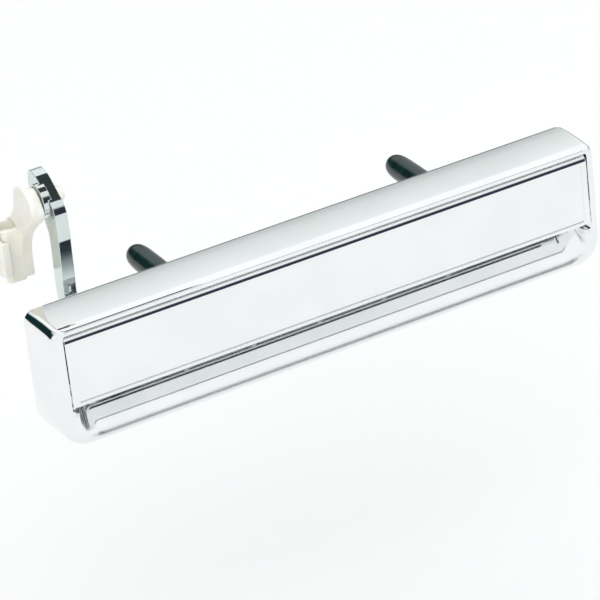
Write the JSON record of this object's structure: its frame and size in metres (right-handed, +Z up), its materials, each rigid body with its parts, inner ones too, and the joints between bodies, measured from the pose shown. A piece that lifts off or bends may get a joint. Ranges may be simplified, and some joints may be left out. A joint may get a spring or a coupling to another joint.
{
  "type": "vehicle door pull handle",
  "caption": "Chrome flush door handle with a hinged pull flap, rear crank arm with a nylon rod clip, and threaded mounting studs.",
  "frame": {"origin": "middle of the back mounting plane, on the centre land", "axes": "+X along the handle, -Y out of the door towards the hand, +Y into the door, +Z up"},
  "size_m": [0.189, 0.0515, 0.0747],
  "materials": {
    "chrome": "polished chrome plating on a zinc casting",
    "steel": "zinc-plated steel",
    "spring_steel": "drawn spring wire",
    "ivory_nylon": "natural ivory nylon",
    "white_nylon": "white nylon",
    "black_vinyl": "dipped black vinyl",
    "black_rubber": "moulded rubber"
  },
  "bodies": {
    "handle_frame": {"housing": "chrome", "hinge_pin_left": "steel", "hinge_pin_right": "steel", "snap_ring_left": "spring_steel", "snap_ring_right": "spring_steel", "flap_spring": "spring_steel", "bumper_left": "black_rubber", "bumper_right": "black_rubber", "stud_left": "steel", "stud_right": "steel", "stud_cap_left": "black_vinyl", "stud_cap_right": "black_vinyl"},
    "flap": {"flap": "chrome", "hinge_bush_left": "white_nylon", "hinge_bush_right": "white_nylon", "lever_arm": "chrome", "arm_rivet_lower": "steel", "arm_rivet_upper": "steel"},
    "rod_clip": {"rod_clip": "ivory_nylon"},
    "rod_clip_gate": {"rod_clip_gate": "ivory_nylon"}
  },
  "joints": [
    {"name": "flap_hinge", "type": "hinge", "parent": "handle_frame", "child": "flap", "pos_m": [-0.07, -0.0152, 0.0129], "axis": [-1, 0, 0], "range_deg": [0, 30], "stiffness_Nm_per_rad": 0.25, "springref_deg": -20.05, "deforming": ["flap_spring"]},
    {"name": "rod_clip_swivel", "type": "hinge", "parent": "flap", "child": "rod_clip", "pos_m": [-0.0815, 0.0115, 0.0463], "axis": [-1, 0, 0], "range_deg": [-30, 30]},
    {"name": "rod_clip_gate_hinge", "type": "hinge", "parent": "rod_clip", "child": "rod_clip_gate", "pos_m": [-0.0891, 0.0311, 0.0265], "axis": [0, 0, -1], "range_deg": [0, 100]}
  ]
}
